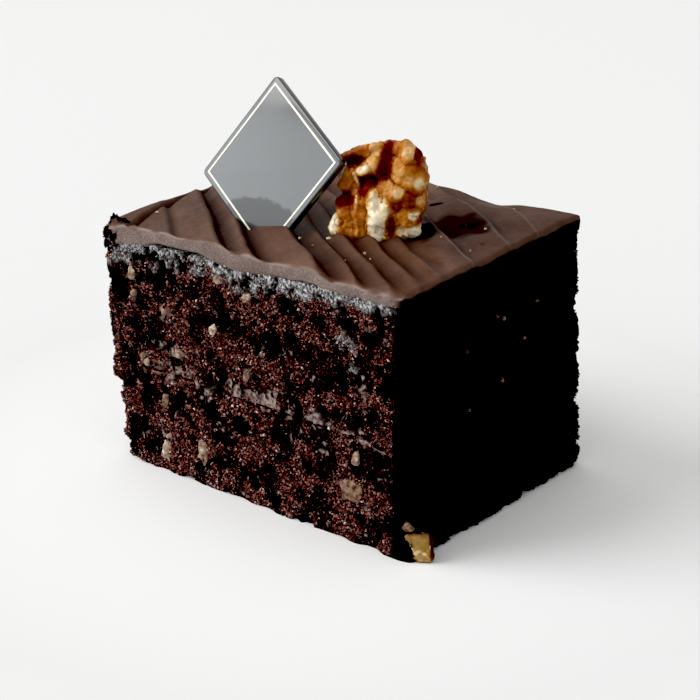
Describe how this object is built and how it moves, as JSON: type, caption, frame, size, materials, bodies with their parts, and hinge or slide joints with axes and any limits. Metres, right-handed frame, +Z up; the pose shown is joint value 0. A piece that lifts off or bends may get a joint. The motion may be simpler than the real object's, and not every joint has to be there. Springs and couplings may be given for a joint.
{
  "type": "slice of walnut brownie cake",
  "caption": "Block-shaped slice of dark two-layer walnut brownie cake with a thin filling, ridged chocolate frosting, a square chocolate plaque and a candied walnut half.",
  "frame": {"origin": "under the middle of the slice's box, on the surface it stands on", "axes": "+X along the long cut face, seen from its front, -Y out of that front face, +Z up"},
  "size_m": [0.0892, 0.0632, 0.086],
  "materials": {
    "sponge": "dry, very open dark chocolate crumb",
    "filling": "smooth chocolate cream, satin",
    "frosting": "ganache frosting, satin, with palette knife strokes",
    "plaque": "polished dark chocolate, bare but for a plain cream border line",
    "walnut": "candied amber skin, cream where it is broken"
  },
  "bodies": {
    "root": {"lower_sponge": "sponge", "filling": "filling", "upper_sponge": "sponge", "frosting": "frosting", "plaque": "plaque", "walnut_half": "walnut", "corner_walnut": "walnut"}
  },
  "joints": []
}
